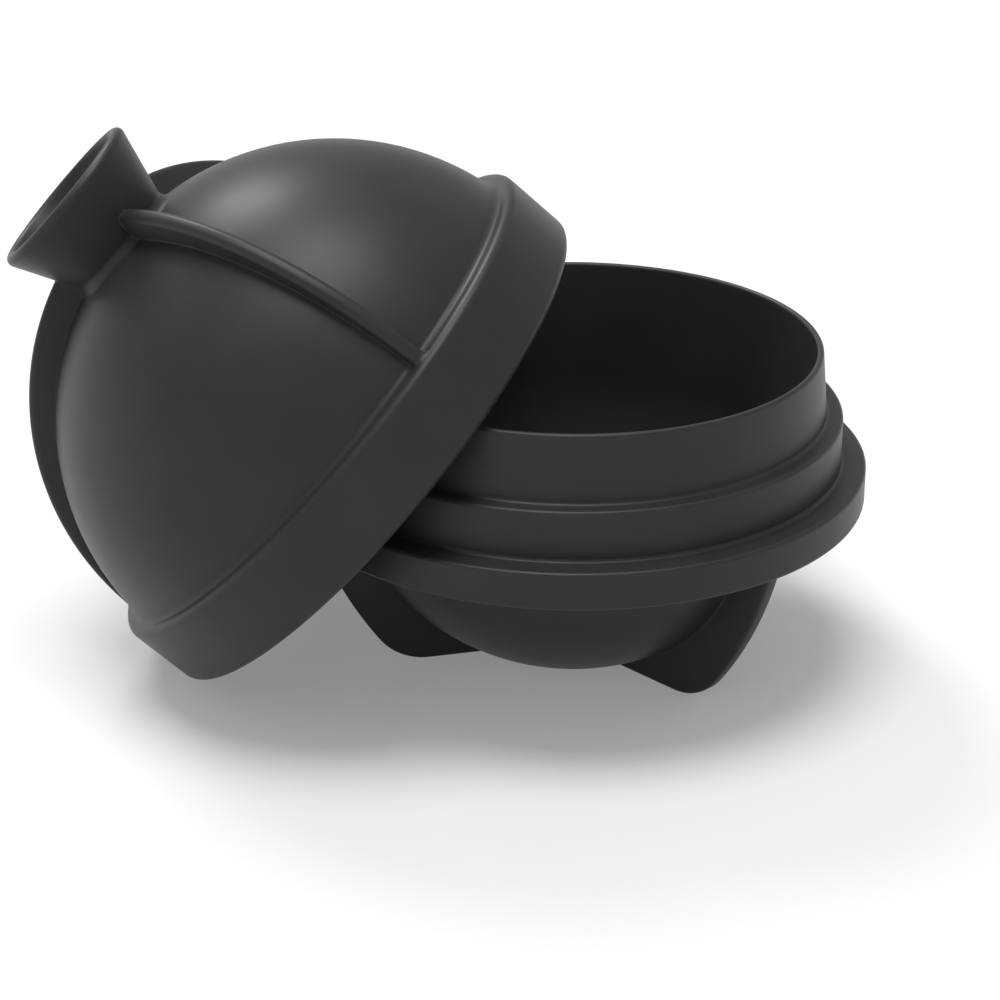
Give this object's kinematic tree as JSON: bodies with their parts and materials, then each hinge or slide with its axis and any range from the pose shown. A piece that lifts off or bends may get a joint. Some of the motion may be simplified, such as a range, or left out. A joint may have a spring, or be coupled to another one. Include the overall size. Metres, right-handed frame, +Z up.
{
  "type": "ice ball mold",
  "caption": "Silicone mold that freezes a ball of ice: a round bowl on plate feet with a stepped rim, and a finned dome lid with a pouring funnel, leaning on the rim.",
  "frame": {"origin": "on the floor under the base's feet, on the axis of the bowl", "axes": "+Z up along the bowl's axis; -X towards the side where the lid leans; +Y to the back of the picture's view"},
  "size_m": [0.108, 0.0753, 0.0695],
  "materials": {
    "silicone": "matte"
  },
  "bodies": {
    "base": {"footed_base": "silicone"},
    "lid": {"funnel_lid": "silicone"}
  },
  "joints": [
    {"name": "lid_pull_off", "type": "slide", "parent": "base", "child": "lid", "axis": [-0.7419, -0.0065, 0.6704], "range_m": [0, 0.06]}
  ]
}
